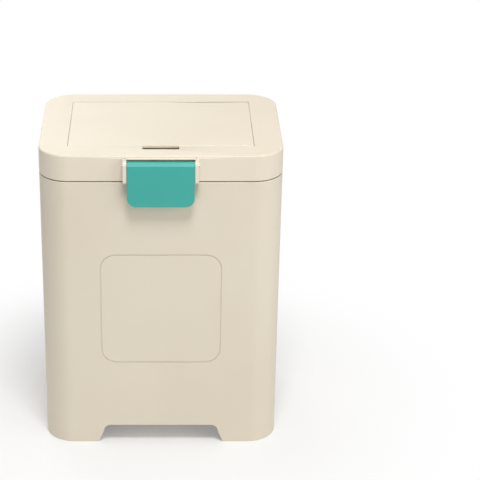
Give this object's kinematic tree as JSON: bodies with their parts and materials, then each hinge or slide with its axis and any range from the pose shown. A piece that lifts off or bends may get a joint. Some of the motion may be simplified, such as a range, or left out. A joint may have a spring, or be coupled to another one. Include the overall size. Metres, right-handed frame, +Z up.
{
  "type": "litter disposal pail",
  "caption": "Upright litter disposal pail with a lift-out bucket, a hinged lid holding a bag roll under a hatch, a charcoal filter and a swinging front latch.",
  "frame": {"origin": "middle of the footprint, on the floor", "axes": "+X to the pail's right as seen from the front, +Y to the back where the lid is hinged, +Z up"},
  "size_m": [0.3, 0.2472, 0.4008],
  "materials": {
    "casing_cream": "satin",
    "lid_cream": "satin",
    "latch_teal": "semi-gloss",
    "keeper_white": "satin",
    "bucket_grey": "satin",
    "ring_black": "satin",
    "seal_rubber": "matte",
    "steel": "brushed",
    "grille_white": "satin",
    "filter_carbon": "matte",
    "bag_film": "glossy film"
  },
  "bodies": {
    "casing": {"outer_casing": "casing_cream", "casing_floor": "casing_cream", "rim_frame": "casing_cream", "rim_seal": "seal_rubber", "latch_keeper": "keeper_white", "hinge_pins": "steel"},
    "bucket": {"inner_bucket": "bucket_grey", "liner_ring": "ring_black"},
    "left_bail": {"bail_left": "ring_black"},
    "right_bail": {"bail_right": "ring_black"},
    "lid": {"lid_shell": "lid_cream", "lid_liner": "lid_cream", "liner_screws": "steel", "filter_grille": "grille_white", "charcoal_filter": "filter_carbon", "hatch_pins": "steel", "latch_pin": "steel"},
    "hatch": {"hatch": "lid_cream"},
    "latch": {"latch": "latch_teal"},
    "roll": {"bag_roll": "bag_film", "roll_core": "ring_black", "roll_hub_left": "ring_black", "roll_hub_right": "ring_black"}
  },
  "joints": [
    {"name": "lid_hinge", "type": "hinge", "parent": "casing", "child": "lid", "pos_m": [0, 0.1176, 0.36625], "axis": [-1, 0, 0], "range_deg": [0, 105]},
    {"name": "bucket_lift", "type": "slide", "parent": "casing", "child": "bucket", "axis": [0, 0, 1], "range_m": [0, 0.075]},
    {"name": "left_bail_hinge", "type": "hinge", "parent": "bucket", "child": "left_bail", "pos_m": [-0.1365, 0, 0.3635], "axis": [0, -1, 0], "range_deg": [0, 90]},
    {"name": "right_bail_hinge", "type": "hinge", "parent": "bucket", "child": "right_bail", "pos_m": [0.1365, 0, 0.3635], "axis": [0, 1, 0], "range_deg": [0, 90]},
    {"name": "hatch_hinge", "type": "hinge", "parent": "lid", "child": "hatch", "pos_m": [0, 0.077, 0.396], "axis": [-1, 0, 0], "range_deg": [0, 95]},
    {"name": "latch_hinge", "type": "hinge", "parent": "lid", "child": "latch", "pos_m": [0, -0.1175, 0.39], "axis": [-1, 0, 0], "range_deg": [0, 110]},
    {"name": "roll_spin", "type": "hinge", "parent": "lid", "child": "roll", "pos_m": [0, 0.024, 0.366], "axis": [1, 0, 0], "continuous": true}
  ],
  "couplings": [
    {"joint": "bucket_lift", "follows": "lid_hinge", "m_per_rad": 0.0409}
  ]
}
